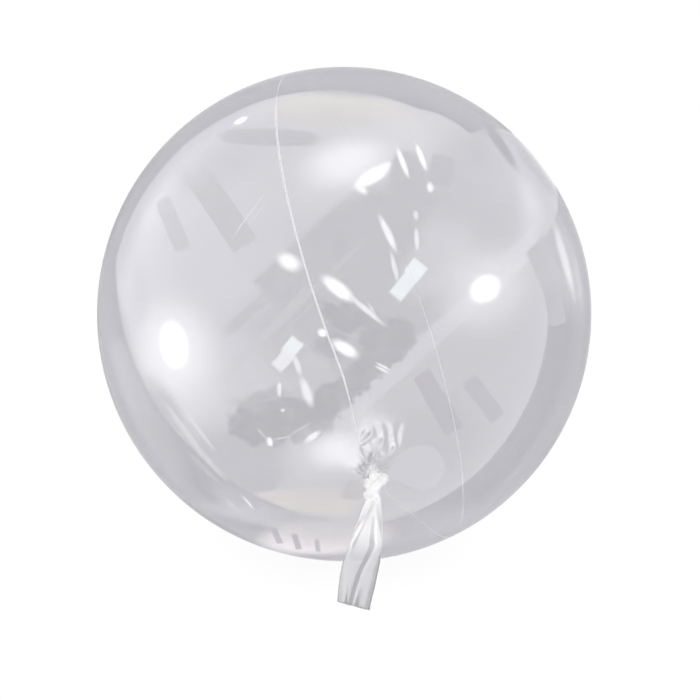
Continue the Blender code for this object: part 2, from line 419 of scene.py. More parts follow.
def carried_frames(route, first_across):
    """Two cross directions at each point of a route, carried along it without twist."""
    heading = unit_rows(np.gradient(route, axis=0))
    across = np.empty_like(route)
    across[0] = unit(first_across - heading[0] * (first_across @ heading[0]))
    for i in range(1, len(route)):
        across[i] = unit(across[i - 1] - heading[i] * (across[i - 1] @ heading[i]))
    return across, np.cross(heading, across)


def shade_of(colour, strength=1.0):
    """A tint at a strength, as the four numbers of a colour socket."""
    return (*(strength * part for part in colour), 1.0)


class Nodes:
    """A short way to build a node tree: nodes with their settings, and sockets fed by name."""

    def __init__(self, tree):
        self.tree = tree

    def feed(self, socket, source):
        """Links another node's output to the socket, or sets the socket's plain value."""
        if hasattr(source, "is_output"):
            self.tree.links.new(source, socket)
        else:
            socket.default_value = source

    def node(self, kind, fed=(), **settings):
        """A new node with its settings, and its inputs fed by name or number."""
        made = self.tree.nodes.new(kind)
        for key, value in settings.items():
            setattr(made, key, value)
        for name, source in dict(fed).items():
            self.feed(made.inputs[name], source)
        return made

    def math(self, operation, *sources, clamp=False):
        fed = dict(enumerate(sources))
        return self.node("ShaderNodeMath", fed, operation=operation, use_clamp=clamp).outputs[0]

    def dot(self, vector, direction):
        """The dot product of a vector output with a fixed direction."""
        fed = {0: vector, 1: tuple(direction)}
        return self.node("ShaderNodeVectorMath", fed, operation="DOT_PRODUCT").outputs["Value"]

    def mix(self, factor, below, above, blend="MIX"):
        """Lays one colour over another by a factor. Returns the colour's output."""
        fed = {"Factor": factor, "A": below, "B": above}
        made = self.node("ShaderNodeMix", fed, data_type="RGBA", blend_type=blend)
        return made.outputs["Result"]

    def ray_past(self, kind, depth):
        """1 for a ray whose count of bounces of a kind is over a depth, and 0 for any other."""
        path = self.node("ShaderNodeLightPath")
        return self.math("GREATER_THAN", path.outputs[kind], depth)

    def mirrored_ray(self):
        """1 for light that a surface has mirrored, and 0 for what is seen straight or through."""
        return self.ray_past("Glossy Depth", 0.5)


class Finish(Nodes):
    """A node material with one shader."""

    def __init__(self, name, values):
        self.material = bpy.data.materials.get(name) or bpy.data.materials.new(name)
        self.material.use_nodes = True
        super().__init__(self.material.node_tree)
        self.tree.nodes.clear()
        self.shader = self.node("ShaderNodeBsdfPrincipled", values)
        self.output = self.node(
            "ShaderNodeOutputMaterial", {"Surface": self.shader.outputs["BSDF"]})

    def feed_shader(self, name, source):
        self.feed(self.shader.inputs[name], source)

    def add_grain(self, roughness, scuffs=0.5):
        """Puts the shared film grain on, whose scuffs are rougher. Returns its outputs."""
        place = self.node("ShaderNodeTexCoord").outputs["Object"]
        grain = self.node(
            "ShaderNodeGroup", {"Vector": place, "Scuffs": scuffs}, node_tree=film_grain_group())
        self.feed_shader("Roughness", self.math("ADD", grain.outputs["Scuff"], roughness))
        return grain.outputs

    def add_bump(self, height, strength, distance):
        bump = self.node(
            "ShaderNodeBump", {"Strength": strength, "Distance": distance, "Height": height})
        self.feed_shader("Normal", bump.outputs["Normal"])

    def creases(self, stretched, **values):
        """A noise stretched along the piece by its own UV map. Returns its height."""
        place = self.node("ShaderNodeTexCoord")
        mapping = self.node(
            "ShaderNodeMapping", {"Vector": place.outputs["UV"], "Scale": stretched})
        values["Vector"] = mapping.outputs["Vector"]
        return self.node("ShaderNodeTexNoise", values).outputs[0]

    def darken_edges(self, colour, blend, shade):
        """Sets the base colour, multiplied by a shade where the surface is seen edge-on: partly the
        deeper tint of film seen at a slant, partly painted shade.
        """
        edge_on = self.node("ShaderNodeLayerWeight", {"Blend": blend})
        colour = self.mix(edge_on.outputs["Facing"], colour, shade_of(shade), "MULTIPLY")
        self.feed_shader("Base Color", colour)


def new_group(name, inputs, outputs):
    """A new shader node group. Returns its nodes, the sockets it is fed by and those it feeds."""
    group = bpy.data.node_groups.new(name, "ShaderNodeTree")
    for label, default in inputs.items():
        kind = "NodeSocketVector" if default is None else "NodeSocketFloat"
        socket = group.interface.new_socket(label, in_out="INPUT", socket_type=kind)
        if default is not None:
            socket.default_value = default
    for label in outputs:
        group.interface.new_socket(label, in_out="OUTPUT", socket_type="NodeSocketFloat")
    nodes = Nodes(group)
    return nodes, nodes.node("NodeGroupInput").outputs, nodes.node("NodeGroupOutput").inputs


def film_grain_group():
    """A node group shared by all the film: faint waviness, scuffs and uneven stretch."""
    name = "film grain"
    if name in bpy.data.node_groups:
        return bpy.data.node_groups[name]
    nodes, start, end = new_group(
        name, {"Vector": None, "Wave scale": 9.0, "Scuff scale": 160.0, "Scuffs": 0.5},
        ("Wave", "Scuff", "Stretch"))

    def noise(**values):
        return nodes.node("ShaderNodeTexNoise", {"Vector": start["Vector"], **values}).outputs[0]

    wave = noise(Scale=start["Wave scale"], Detail=1.0)
    scuff = noise(Scale=start["Scuff scale"], Detail=5.0, Roughness=0.7)
    raised = nodes.math("SUBTRACT", scuff, 0.55, clamp=True)
    nodes.feed(end["Wave"], wave)
    nodes.feed(end["Scuff"], nodes.math("MULTIPLY", raised, start["Scuffs"], clamp=True))
    nodes.feed(end["Stretch"], noise(Scale=3.0, Detail=2.0))
    return nodes.tree


def clear_film(tint):
    """Thin clear film: see-through by plain values, with faint waves, scuffs and uneven tint."""
    finish = Finish("clear film", {"Transmission Weight": 1.0, "IOR": 1.50})
    grain = finish.add_grain(roughness=0.02, scuffs=0.06)
    low = shade_of(tint, 0.985)
    high = tuple(min(1.0, part) for part in shade_of(tint, 1.015))
    finish.feed_shader("Base Color", finish.mix(grain["Stretch"], low, high))
    finish.add_bump(grain["Wave"], strength=0.25, distance=0.002)
    return finish.material


def frosty_film(name, tint, roughness, transmission, ior, edge, crease_height, scale, stretched):
    """Bunched or welded film: whitish, only partly see-through, with fine creases along it and
    shade painted in them.
    """
    finish = Finish(name, {"Transmission Weight": transmission, "IOR": ior})
    creases = finish.creases(stretched, Scale=scale, Detail=4.0)
    finish.add_grain(roughness, scuffs=0.6)
    # Painted shade in the creases: the colour is darker where the crease bump is low
    colour = finish.mix(creases, shade_of(tint, 0.94), shade_of(tint))
    # Darker where seen edge-on; on the knot this is painted shade
    finish.darken_edges(colour, blend=0.5, shade=(edge, edge, edge))
    finish.add_bump(creases, strength=1.0, distance=crease_height)
    return finish.material


def folded_film(clear_tint, milk_and_highlight_tint):
    """Doubled, creased film: milk-white where gathered, with highlights painted on the folds and
    shade painted in the hollows and along the edges.

    The fold attribute is 0 where shade is painted darkest, 0.5 where the film is flat and 1 where
    it is milk-white or a highlight is painted.
    """
    finish = Finish("folded film", {"Transmission Weight": 0.78, "IOR": 1.48})
    fold = finish.node("ShaderNodeAttribute", attribute_name=FOLD_ATTRIBUTE)
    tint = finish.node("ShaderNodeValToRGB", {"Fac": fold.outputs["Fac"]})
    stops = tint.color_ramp.elements
    # Stop 0 is painted shade, stop 1 the milk-white gather and the painted highlights, and the
    # middle stop flat film
    stops[0].color = shade_of(clear_tint, 0.64)
    stops[1].color = shade_of(milk_and_highlight_tint)
    stops.new(0.5).color = shade_of(clear_tint)
    finish.darken_edges(tint.outputs["Color"], blend=0.35, shade=(0.64, 0.63, 0.66))
    finish.add_grain(roughness=0.05)
    creases = finish.creases((14.0, 2.0, 1.0), Scale=1.0, Detail=3.0, Distortion=0.6)
    finish.add_bump(creases, strength=0.2, distance=0.0001)
    return finish.material


class BALLOON_OT_film_ball(bpy.types.Operator):
    """The blown-up ball of clear film, with its pleats, the funnel at the neck and the flat spot"""

    bl_idname = "balloon.film_ball"
    bl_label = "Film ball"

    # The gathered neck beyond the ball: radius and height above the ball's surface
    neck_rings = (
        (0.0044, 0.0100), (0.0048, 0.0074), (0.0053, 0.0056), (0.0062, 0.0045), (0.0073, 0.0038))
    # Mesh rings that the short pleats and the folded band get
    pleat_rings = 52

    def execute(self, context):
        scene = context.scene
        ball = scene.balloon_ball
        sizes = (ball, scene.balloon_neck, scene.balloon_seam)
        deselect_all()
        bpy.ops.mesh.primitive_uv_sphere_add(
            segments=ball.columns, ring_count=ball.rings, radius=1.0)
        piece = name_piece("film_ball", clear_film(scene.balloon_finish.film))
        start = vertex_array(piece.data)
        polar = np.arccos(np.clip(start[:, 2], -1.0, 1.0))
        ring = np.rint(polar / pi * ball.rings).astype(int)
        column = np.rint(np.arctan2(start[:, 1], start[:, 0]) / (2.0 * pi) * ball.columns)
        azimuth = (column % ball.columns) / ball.columns * 2.0 * pi
        move_vertices(piece.data, self.places(ring, azimuth, *sizes))
        self.open_neck_and_cut(piece, ball)
        give_wall(piece, ball.wall)
        finish_piece(piece)
        return {"FINISHED"}

    def places(self, ring, azimuth, ball, neck, seam):
        """Spreads the rings from the open neck over the pleats, finely, and on to the far side."""
        first = len(self.neck_rings) + 1
        last_pleat = first + self.pleat_rings
        pleat_end = 1.05 * ball.column_height / ball.radius
        near = (ring - first) / self.pleat_rings
        far = (ring - last_pleat) / (ball.rings - last_pleat)
        polar = np.where(
            ring <= last_pleat,
            neck.waist_angle + (pleat_end - neck.waist_angle) * near,
            pleat_end + (pi - pleat_end) * far,
        )
        polar = np.clip(polar, neck.waist_angle, pi - POLE_GAP)
        direction = ball_direction(polar, azimuth, ball, neck, seam)
        height = ball_height(polar, azimuth, ball, neck, seam)
        place = ball_centre(ball) + direction * height[:, None]

        along, side = seam_frame(ball, neck, seam)[-2:]
        out = neck_direction(neck)
        shape = pleat_shape(azimuth, ball.pleat_count)
        for index, (radius, rise) in enumerate(self.neck_rings, start=1):
            here = ring == index
            reach = radius * (0.80 + 0.20 * shape[here])
            turn = azimuth[here]
            place[here] = (
                ball_centre(ball) + out * (ball.radius + rise)
                + along * (reach * np.cos(turn))[:, None] + side * (reach * np.sin(turn))[:, None])
        return place

    def open_neck_and_cut(self, piece, ball):
        """Removes the pole inside the neck and cuts the ball off level at the flat spot."""
        bpy.ops.object.mode_set(mode="EDIT")
        mesh = bmesh.from_edit_mesh(piece.data)
        for vertex in mesh.verts:
            is_pole = len(vertex.link_faces) == ball.columns
            vertex.select = is_pole and vertex.co.y < -0.5 * ball.radius
        mesh.select_flush_mode()
        bmesh.update_edit_mesh(piece.data)
        bpy.ops.mesh.delete(type="VERT")
        bpy.ops.mesh.select_all(action="SELECT")
        bpy.ops.mesh.bisect(
            plane_co=(0.0, 0.0, 0.0), plane_no=(0.0, 0.0, -1.0), use_fill=True, clear_outer=True)
        tidy_skin()
        bpy.ops.object.mode_set(mode="OBJECT")


class BALLOON_OT_weld_seam(bpy.types.Operator):
    """The thin frosty weld that joins the two sheets all round"""

    bl_idname = "balloon.weld_seam"
    bl_label = "Weld seam"

    steps = 420
    profile = 8
    # Half the angle between the two points that give the weld's heading
    look_ahead = 0.004
    # How much of its full width the weld shows, by the angle from the neck up, over and back
    full_width = (
        np.radians((9.0, 15.0, 22.0, 86.0, 98.0, 214.0, 221.0, 286.0, 306.0, 351.0)),
        (0.2, 0.3, 1.0, 1.0, 0.22, 0.22, 1.5, 1.5, 0.3, 0.2),
    )

    def execute(self, context):
        scene = context.scene
        ball, neck, seam = scene.balloon_ball, scene.balloon_neck, scene.balloon_seam
        turn, share = add_flat_grid(self.profile, self.steps)
        piece = name_piece("weld_seam", frosty_film(
            "frosty weld", scene.balloon_finish.weld, roughness=0.35, transmission=0.50, ior=1.25,
            edge=1.0, crease_height=0.00005, scale=20.0, stretched=(1.0, 30.0, 1.0)))
        first = 1.2 * ball.pleat_reach
        passed = first + share * 2.0 * (pi - first)
        near_half = share <= 0.5
        polar = np.where(near_half, passed, 2.0 * pi - passed)
        polar = np.clip(polar, first, pi - POLE_GAP)
        azimuth = np.where(near_half, 0.0, pi)

        def direction_at(angle):
            return ball_direction(angle, azimuth, ball, neck, seam)

        direction = direction_at(polar)
        height = ball_height(polar, azimuth, ball, neck, seam) - ball.wall / 2.0
        ahead = direction_at(np.clip(polar + self.look_ahead, first, pi - POLE_GAP))
        behind = direction_at(polar - self.look_ahead)
        sideways = unit_rows(np.cross(ahead - behind, direction))
        fade = np.interp(passed, *self.full_width)
        across = (seam.half_width * fade * np.cos(turn))[:, None] * sideways
        up = (seam.height * fade * np.sin(turn))[:, None] * direction
        middle = ball_centre(ball) + direction * height[:, None]
        move_vertices(piece.data, middle + across + up)
        join_tube(piece, closed=True)
        finish_piece(piece)
        return {"FINISHED"}


class BALLOON_OT_knot(bpy.types.Operator):
    """The overhand knot, tied in the gathered film of the neck"""

    bl_idname = "balloon.knot"
    bl_label = "Knot"

    rings = 220
    profile = 56

    def execute(self, context):
        scene = context.scene
        ball, neck = scene.balloon_ball, scene.balloon_neck
        turn, share = add_flat_grid(self.profile, self.rings)
        # The knot's edge-on sides are darkened to 0.76 as painted shade, which gives the white
        # bunched film its shape, and its creases get painted shade too
        piece = name_piece("knot", frosty_film(
            "bunched film", scene.balloon_finish.knot, roughness=0.30, transmission=0.05, ior=1.48,
            edge=0.76, crease_height=0.0006, scale=5.0, stretched=(14.0, 2.0, 1.0)))
        row = np.rint(share * self.rings).astype(int)
        route_mm, run_mm = smooth_route(np.array(KNOT_ROUTE_MM) * KNOT_SCALE, self.rings + 1)
        route = knot_centre(ball, neck) + route_mm * MILLIMETRE
        across, up = carried_frames(route, WORLD_X)
        radius = neck.strand_radius * self.swell(turn, run_mm[row], run_mm[-1])
        move_vertices(
            piece.data, route[row] + across[row] * (radius * np.cos(turn))[:, None]
            + up[row] * (radius * np.sin(turn))[:, None])
        join_tube(piece, closed=True)
        finish_piece(piece)
        return {"FINISHED"}

    def swell(self, turn, run, length):
        """The strand's share of its radius: folds that wind round it, and thick and thin places."""
        folds = np.abs(np.cos(2.5 * (turn + 0.055 * run))) ** 0.7
        fine = np.cos(9.0 * turn + 1.3 * np.sin(0.45 * run) + 0.25 * run)
        thick = 1.0 + 0.07 * np.sin(0.55 * run + 1.0) + 0.05 * np.sin(1.27 * run)
        starts = 0.15 * (1.0 - ramp(run, 1.0, 8.0))
        tapers = 0.75 * ramp(run, length - 4.0, length)
        return thick * (1.0 + starts - tapers) * (0.86 + 0.16 * folds + 0.035 * fine)


class BALLOON_OT_tail(bpy.types.Operator):
    """The flat open end of the neck: a film tube, pressed flat, folded lengthwise and cut off"""

    bl_idname = "balloon.tail"
    bl_label = "Tail"

    rings = 90
    profile = 120
    # Where each fold runs across the tail, from -1 to 1, by the share of its length from the knot
    crest = ((0.0, 0.12, 0.45, 0.70, 1.0), (0.0, 0.25, 0.66, 0.18, -0.05))
    left_fold = ((0.0, 0.12, 0.25, 0.45, 1.0), (-0.15, -0.40, -0.62, -0.86, -0.62))
    hollow = ((0.0, 0.45, 0.7, 1.0), (-0.05, 0.15, -0.12, -0.33))
    left_edge = -1.0
    right_edge = 1.0

    def execute(self, context):
        scene = context.scene
        ball, neck, tail = scene.balloon_ball, scene.balloon_neck, scene.balloon_tail
        turn, share = add_flat_grid(self.profile, self.rings)
        colours = scene.balloon_finish
        # The knot's colour also gives the tail's milk-white gather and the highlights painted on
        # its crests
        piece = name_piece("tail", folded_film(colours.tail, colours.knot))
        move_vertices(piece.data, self.places(turn, share, ball, neck, tail))
        # Per vertex: the milk-white gather, highlights painted on the crests, and shade painted in
        # the hollow and along the edges
        milk_light_and_shade = piece.data.attributes.new(FOLD_ATTRIBUTE, "FLOAT", "POINT")
        milk_light_and_shade.data.foreach_set("value", self.painted_fold_light_and_milk(np.cos(turn), share))
        join_tube(piece, closed=False)
        give_wall(piece, tail.wall)
        finish_piece(piece)
        piece.visible_glossy = False
        return {"FINISHED"}

    def places(self, turn, share, ball, neck, tail):
        """Lays the tube round a curve that leaves the knot downwards and hangs at its end."""
        start = knot_centre(ball, neck) + MILLIMETRE * KNOT_SCALE * np.array(KNOT_ROUTE_MM[-2])
        end = np.array(tail.end)
        reach = np.linalg.norm(end - start)
        first = start + TAIL_LEAVES * (reach * 0.30)
        last = end - TAIL_HANGS * (reach * 0.35)
        s = share[:, None]
        r = 1.0 - s
        spine = start * r**3 + first * (3 * r**2 * s) + last * (3 * r * s**2) + end * s**3
        heading = unit_rows(
            (first - start) * (3 * r**2) + (last - first) * (6 * r * s) + (end - last) * (3 * s**2))
        across = unit_rows(WORLD_X - heading * (heading @ WORLD_X)[:, None])
        through = np.cross(heading, across)

        a, b = np.cos(turn), np.sin(turn)
        spread = np.minimum(1.0, share / 0.60) ** 0.8
        taper = 1.0 - 0.09 * ramp(share, 0.75, 1.0)
        width = (tail.neck_width + (tail.width - tail.neck_width) * spread) * taper
        pressed = ramp(share, 0.0, 0.40)
        thickness = tail.neck_thickness + (tail.thickness - tail.neck_thickness) * pressed
        gather = 1.0 - 0.06 * (1.0 - np.abs(np.cos(3.0 * turn))) * (1.0 - pressed)
        fold = self.folds(a, share, tail.fold_depth)
        slant = tan(tail.cut_slant) * a * width / 2.0 * ramp(share, 0.5, 1.0)
        return (
            spine + across * (a * gather * width / 2.0)[:, None]
            + through * (b * gather * thickness / 2.0 + fold)[:, None] + heading * slant[:, None])

    def ridge(self, across, share, route, width):
        return soft_ridge(across, np.interp(share, *route), width)

    def painted_fold_light_and_milk(self, across, share):
        """1 where a highlight is painted on the crests and in the milk-white gather, 0.5 on flat
        film, 0 in the hollow and at the cut, with shade painted in the hollow and along the edges.
        """
        value = 0.76 + 0.24 * (1.0 - ramp(share, 0.0, 0.25)) - 0.50 * ramp(share, 0.31, 0.64)
        # A highlight painted as a bright bead on the left fold, just below the knot
        value = value + 0.5 * soft_ridge(across, -0.62, 0.30) * soft_ridge(share, 0.24, 0.07)
        fading = 1.0 - 0.5 * ramp(share, 0.4, 0.65)
        flat = ramp(share, 0.4, 0.7)
        # Highlights painted on the crest and the left fold, shade painted in the hollow and along
        # both edges, and darker at the cut
        for amount, ridge in (
                (0.28 * fading, self.ridge(across, share, self.crest, 0.18)),
                (0.24 * fading, self.ridge(across, share, self.left_fold, 0.18)),
                (-0.05 * ramp(share, 0.45, 0.65), self.ridge(across, share, self.hollow, 0.30)),
                (-0.40 * flat, soft_ridge(across, self.right_edge, 0.14)),
                (-0.25 * flat, soft_ridge(across, self.left_edge, 0.10)),
                (-0.22, ramp(share, 0.975, 1.0))):
            value = value + amount * ridge
        return np.clip(value, 0.0, 1.0)

    def folds(self, across, share, depth):
        """The diagonal crest, the hollow beside it, the folded left and the lifted right edge."""
        shape = (
            self.ridge(across, share, self.crest, 0.42)
            + 0.55 * self.ridge(across, share, self.left_fold, 0.30)
            - 0.4 * self.ridge(across, share, self.hollow, 0.30)
            + 0.25 * soft_ridge(across, self.right_edge, 0.35))
        return -depth * shape * ramp(share, 0.05, 0.5)


# The studio as the ball mirrors it, in areas laid over each other. Each row is one panel: its
# middle and half sizes in pixels of the photograph's frame, its turn in degrees, softness,
# roundness, strength, tint and cover.
TENT_AREAS = (
    # Wide areas of the tent: bright on the left, warm at the top, duller at the upper right
    (190, 270, 84, 120, 0, 0.8, 1, 2.9, LILAC, 0.9),
    (347, 111, 80, 18, -2, 0.12, 0.6, 2.2, WARM, 0.95),
    (478, 182, 78, 44, 100, 0.3, 0.8, 1.6, LILAC, 0.9),
    (450, 122, 66, 22, -35, 0.8, 1, 1.2, LILAC, 0.8),
    (228, 146, 62, 30, 36, 0.8, 1, 1.75, LILAC, 0.7),
    (134, 285, 80, 14, -86, 0.8, 1, 2.1, LILAC, 0.7),
    (225, 482, 84, 62, 20, 0.45, 1, 1.2, LILAC),
    # The dark side of the room, its bright border, and the dark gap for the camera
    (498, 485, 400, 148, 42, 0.02, 0, 1.80, LILAC),
    (431, 336, 172, 11, 42, 0.25, 0, 2.7, LILAC, 0.9),
    (440, 445, 50, 36, 30, 0.8, 1, 1.35, LILAC, 0.9),
    (310, 336, 45, 58, 42, 0.6, 0, 1.4, LILAC, 0.9),
    (361, 285.7, 77, 76.5, 42, 0.06, 0, 1.25, LILAC, 0.95),
    (438, 260, 46, 24, 44, 0.4, 1, 2.6, LILAC, 0.85),
    (272, 291, 60, 5.5, 41.5, 0.3, 0, 1.4, LILAC, 0.8),
    (312, 293, 66, 2.2, 45, 0.6, 0, 1.9, LILAC, 0.7),
    (268, 332, 62, 4, 47, 0.6, 0, 2.2, LILAC, 0.6),
    (308, 309, 58, 1.2, 45, 0.6, 0, 1.8, LILAC, 0.6),
    (300, 505, 60, 17, 3, 0.12, 0.7, 2.3, AMBER, 0.95),
    (422, 467, 24, 24, 0, 0.05, 1, 2.1, LILAC, 0.9),
)
LIGHTS = (
    # Strips lower right
    (438, 402, 34, 10, -59, 0.06, 0, 0.75, LILAC, 0.9),
    (484, 399, 25, 8.5, -53, 0.08, 0, 1.05, LILAC, 0.9),
    # Soft lamps
    (335, 184, 52, 17, 20, 0.8, 1, 3, LILAC, 0.85),
    (370, 452, 22, 34, 0, 0.9, 1, 6.5, WHITE, 0.85),
    (312, 366, 14, 16, 0, 0.8, 1, 2, LILAC, 0.8),
    (190, 372, 30, 48, 22, 0.95, 1, 3.6, WHITE, 0.8),
    (178, 347, 30, 38, 15, 0.95, 1, 6, WHITE, 0.8),
    (174, 345, 12, 20, 8, 0.5, 1, 12),
    (482, 290, 38, 32, 30, 0.95, 1, 4.6, WHITE, 0.8),
    (485, 289, 14, 11, 30, 0.6, 1, 12),
    (362, 156, 84, 30, 20, 0.95, 1, 3.1, WHITE, 0.65),
    (346, 163, 35, 19, 14, 0.95, 1, 6.2, WHITE, 0.9),
    (332, 455, 42, 25, 16, 0.95, 1, 3, WHITE, 0.8),
    (335, 449, 22, 14, 16, 0.95, 1, 6.2, WHITE, 0.9),
    # Small lamps and stands beside the camera
    (406, 172, 16, 22, -8, 0.2, 0.9, 1.3, LILAC, 0.9),
    (441, 170, 12, 16, -12, 0.1, 0.1, 1.3, LILAC, 0.9),
    (403, 210, 22, 26, 0, 0.5, 1, 1.3, LILAC, 0.8),
    (372, 176, 18, 6.5, 32, 0.5, 1, 9),
    (361, 189, 7, 3.5, -40, 0.6, 1, 7),
    (386, 165, 5, 3, 20, 0.6, 1, 7),
    (403, 162, 14, 2.6, -70, 0.5, 1, 7),
    (421, 157, 12, 2.6, -70, 0.5, 1, 7),
    (430, 187, 5, 3.2, -80, 0.5, 1, 6),
    (416, 216, 4.5, 2.5, -80, 0.5, 1, 4.5),
    (417, 240, 10, 2.4, -86, 0.5, 1, 5.5),
    (388, 234, 18, 3.4, -64, 0.5, 1, 6.5),
    (395, 267, 14, 2.4, -76, 0.5, 1, 5),
    (416.5, 270, 8, 8.6, 52, 0.2, 0, 6, COOL),
    (404.5, 286, 14, 7.4, 51, 0.2, 0, 5.8, COOL),
    (293, 347.5, 9.5, 7.4, 52, 0.2, 0, 5.8, COOL),
    (284, 361, 10.5, 6.8, 47, 0.2, 0, 5.2),
    (338, 289, 17, 6.4, -38, 0.6, 1, 9),
    (366, 310, 20, 2.6, -40, 0.6, 1, 5.5),
    (372, 309, 7, 1.4, -60, 0.6, 1, 4),
    (288.5, 262, 11, 7, -28, 0.7, 1, 8),
    (322.8, 333, 4.4, 3.6, -20, 0.6, 1, 8),
    (345, 348.8, 13, 5.4, -32, 0.6, 1, 8),
    (382.6, 366.5, 7, 1.2, -28, 0.6, 1, 6),
    (381.5, 369.5, 7, 1.2, -28, 0.6, 1, 6),
    (298, 365, 9.5, 2.8, -74, 0.5, 1, 5),
    (306.5, 392, 13, 4.2, -72, 0.6, 1, 5.6),
    (280, 390, 6.5, 2.2, -88, 0.5, 1, 5.5),
    (269.7, 441, 4.4, 2.8, -75, 0.6, 1, 7),
    (311.8, 436, 8, 3, 38, 0.6, 1, 6),
    (282, 437, 9, 1, 12, 0.6, 1, 2.4),
    (262, 433, 7, 1, -50, 0.6, 1, 2),
    (283, 410, 1.8, 1.6, 0, 0.6, 1, 4.5),
    (300, 428, 11, 1.2, 30, 0.6, 1, 1.8),
    (258, 402, 22, 1.2, 10, 0.6, 1, 1),
    (241, 120, 6, 2.4, 25, 0.6, 1, 7),
    # Posts, frames and wires
    (219.5, 207, 47, 13.5, -55, 0.06, 0, 1.60, LILAC, 0.85),
    (194, 170, 18, 16, 0, 0.9, 1, 2.1, LILAC, 0.8),
    (172.5, 224, 28, 8.5, -65, 0.12, 0.1, 1.75, LILAC, 0.8),
    (268, 137, 50, 9, -3, 0.15, 0.5, 1.25, LILAC, 0.85),
    (250, 214, 26, 0.9, 54, 0.4, 1, 3.6),
    (257, 215, 17, 0.8, 54, 0.4, 1, 3.2),
    (131, 352, 44, 5, -66, 0.5, 1, 2.6, WHITE, 0.9),
    (169, 412, 34, 11, -58, 0.7, 1, 1.25, LILAC, 0.8),
)
# Dark clutter beside the camera, with ragged outlines, under the lights
DARK_CLUTTER = (
    (283, 420, 54, 24, 8, 0.10, 0.7, 0, LILAC, 0.95),
    (345, 388, 44, 15, 38, 0.14, 0.5, 0.05, LILAC, 0.95),
    (386, 344, 32, 20, 38, 0.2, 0.8, 0.15, LILAC, 0.95),
    (350, 318, 33, 14, -16, 0.2, 0.9, 0.10, LILAC, 0.95),
    (332, 344, 15, 15, 0, 0.3, 1, 0.15, LILAC, 0.85),
    (262, 398, 30, 6, 10, 0.5, 0.8, 0.5, LILAC, 0.8),
    (408, 196, 30, 34, 20, 0.5, 0.9, 0.9, LILAC, 0.7),
)
BEYOND_TENT = (
    # Beyond the tent's edge
    (498, 141, 32, 5, -58, 0.4, 1, 0.6, LILAC, 0.9),
    (554.9, 305, 19, 9, -79, 0.08, 0, 1.10, LILAC),
    (545, 266.7, 21, 12, -65, 0.06, 0, 1.35, LILAC),
    (541.2, 252.1, 12, 10, 42, 0.06, 0, 1.35, LILAC),
    (560, 262, 50, 18, -74, 0.6, 1, 1.25, LILAC, 0.8),
    (564.5, 260, 31, 3.8, -75, 0.7, 1, 2.4, WHITE, 0.85),
    (578, 280, 24, 2.8, -81, 0.7, 1, 1.2, WHITE, 0.8),
    (534, 166, 60, 6, -52, 0.8, 1, 0.8, LILAC, 0.6),
    (360, 86, 105, 12, -4, 0.6, 1, 0.84, LILAC, 0.8),
    (452, 108, 52, 11, -27, 0.6, 1, 0.84, LILAC, 0.8),
    (250, 506, 40, 14, -24, 0.5, 1, 1.15, LILAC, 0.85),
    (412, 527, 62, 15, 14, 0.6, 1, 1, LILAC, 0.85),
    (118, 345, 60, 14, -78, 0.7, 1, 0.85, LILAC, 0.8),
    (132, 382, 42, 12, -67, 0.7, 1, 1.30, LILAC, 0.8),
    (286, 519, 74, 11, -8, 0.5, 1, 1.35, LILAC, 0.85),
    (326, 537, 62, 19, 4, 0.35, 1, 1.75, ROSE, 0.9),
    (248, 502, 8, 1.2, -52, 0.5, 1, 3),
    (277, 536, 9, 3.2, -70, 0.2, 0, 0.8, LILAC, 0.9),
    (297, 542, 9, 3, -78, 0.2, 0, 0.8, LILAC, 0.9),
    (318, 546, 7, 2.4, -84, 0.2, 0, 0.85, LILAC, 0.9),
    # Floor seams, mirrored low on the left
    (150, 420, 60, 16, -62, 0.6, 1, 1.10, LILAC, 0.7),
    (186, 432, 34, 3, -54, 0.5, 1, 2.6, WHITE, 0.8),
    (209, 461, 24, 3, -48, 0.5, 1, 2, WHITE, 0.8),
    (197, 427, 26, 1.8, -53, 0.5, 1, 3.2, WHITE, 0.8),
    (154, 436, 26, 4.5, -62, 0.6, 1, 0.95, WHITE, 0.8),
    (204, 468, 22, 2.6, -44, 0.5, 1, 1.1, WHITE, 0.8),
    (232, 505, 8, 2, -44, 0.5, 1, 1.6, WHITE, 0.8),
)

Panel = namedtuple("Panel", "middle half_size turn softness roundness strength tint cover")


def place_of(x, y):
    """The mirror place of a pixel of the photograph's frame, and the places' scale there.

    Places are on the ball as the photograph's camera sees it: 0, 0 its middle and 1 its edge.
    """
    across = (x - BALL_IN_IMAGE[0]) / BALL_RADIUS_IN_IMAGE
    up = (BALL_IN_IMAGE[1] - y) / BALL_RADIUS_IN_IMAGE
    reach = max(sqrt(across**2 + up**2), 1e-6)
    distance = VIEW_DISTANCE / BALL_RADIUS
    sight = atan(min(reach, 1.0) * tan(asin(1.0 / distance)))
    scale = sin(asin(min(1.0, distance * sin(sight))) - sight / 2.0) / reach
    return (across * scale, up * scale), scale


def panel_at(x, y, half_width, half_height, turn, softness, roundness, strength,
             tint=WHITE, cover=1.0):
    """A panel of the mirrored studio, from one row of the tables."""
    middle, scale = place_of(x, y)
    size = scale / BALL_RADIUS_IN_IMAGE
    half_size = (half_width * size, half_height * size)
    return Panel(middle, half_size, turn, softness, roundness, strength, tint, cover)


def oval(middle, half_size, turn=0.0, softness=0.006):
    """An oval panel at a mirror place, of which only the mask is used."""
    return Panel(middle, half_size, turn, softness, 1.0, 0.0, WHITE, 1.0)


